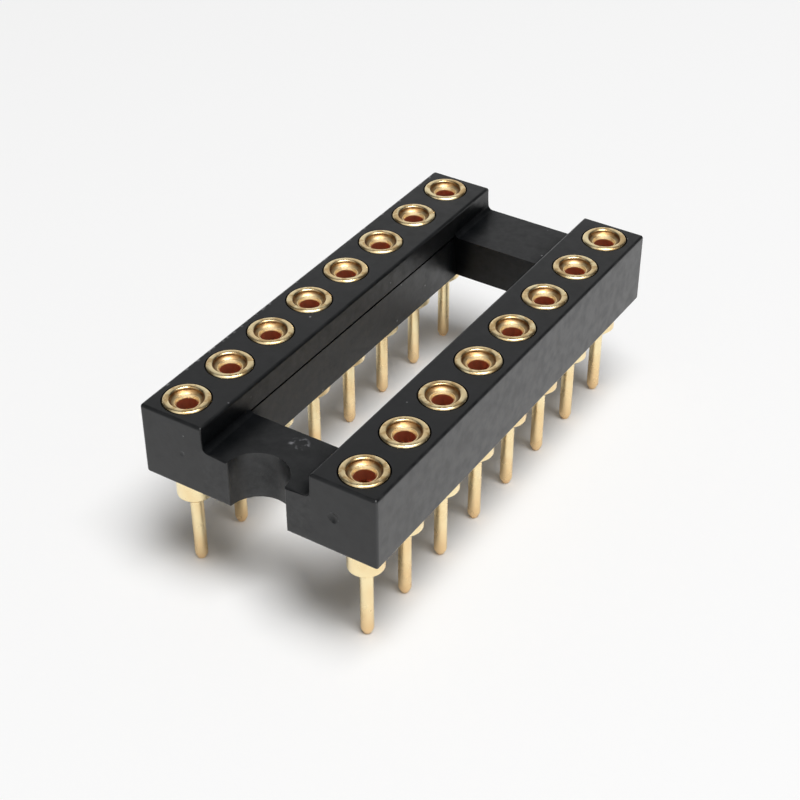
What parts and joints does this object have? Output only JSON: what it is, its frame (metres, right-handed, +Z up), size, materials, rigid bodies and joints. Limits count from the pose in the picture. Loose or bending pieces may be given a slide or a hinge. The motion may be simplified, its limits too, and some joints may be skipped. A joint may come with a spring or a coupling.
{
  "type": "ic socket",
  "caption": "Open-frame dual in-line chip socket: a black moulded frame that holds rows of turned gold contacts with inner finger clips and round solder tails.",
  "frame": {"origin": "centre of the contact pattern on the board's face, where the sleeves' shoulders stand", "axes": "+Z up from the board, +Y along the rows of contacts, with the notched end at -Y"},
  "size_m": [0.0102, 0.02, 0.0076],
  "materials": {
    "frame_plastic": "semi-gloss moulded",
    "sleeve_gold": "gold plated, turned",
    "clip_gold": "gold plated, stamped"
  },
  "bodies": {
    "root": {"insulator_frame": "frame_plastic", "contact_sleeve_01": "sleeve_gold", "contact_clip_01": "clip_gold", "contact_sleeve_02": "sleeve_gold", "contact_clip_02": "clip_gold", "contact_sleeve_03": "sleeve_gold", "contact_clip_03": "clip_gold", "contact_sleeve_04": "sleeve_gold", "contact_clip_04": "clip_gold", "contact_sleeve_05": "sleeve_gold", "contact_clip_05": "clip_gold", "contact_sleeve_06": "sleeve_gold", "contact_clip_06": "clip_gold", "contact_sleeve_07": "sleeve_gold", "contact_clip_07": "clip_gold", "contact_sleeve_08": "sleeve_gold", "contact_clip_08": "clip_gold", "contact_sleeve_09": "sleeve_gold", "contact_clip_09": "clip_gold", "contact_sleeve_10": "sleeve_gold", "contact_clip_10": "clip_gold", "contact_sleeve_11": "sleeve_gold", "contact_clip_11": "clip_gold", "contact_sleeve_12": "sleeve_gold", "contact_clip_12": "clip_gold", "contact_sleeve_13": "sleeve_gold", "contact_clip_13": "clip_gold", "contact_sleeve_14": "sleeve_gold", "contact_clip_14": "clip_gold", "contact_sleeve_15": "sleeve_gold", "contact_clip_15": "clip_gold", "contact_sleeve_16": "sleeve_gold", "contact_clip_16": "clip_gold"}
  },
  "joints": []
}
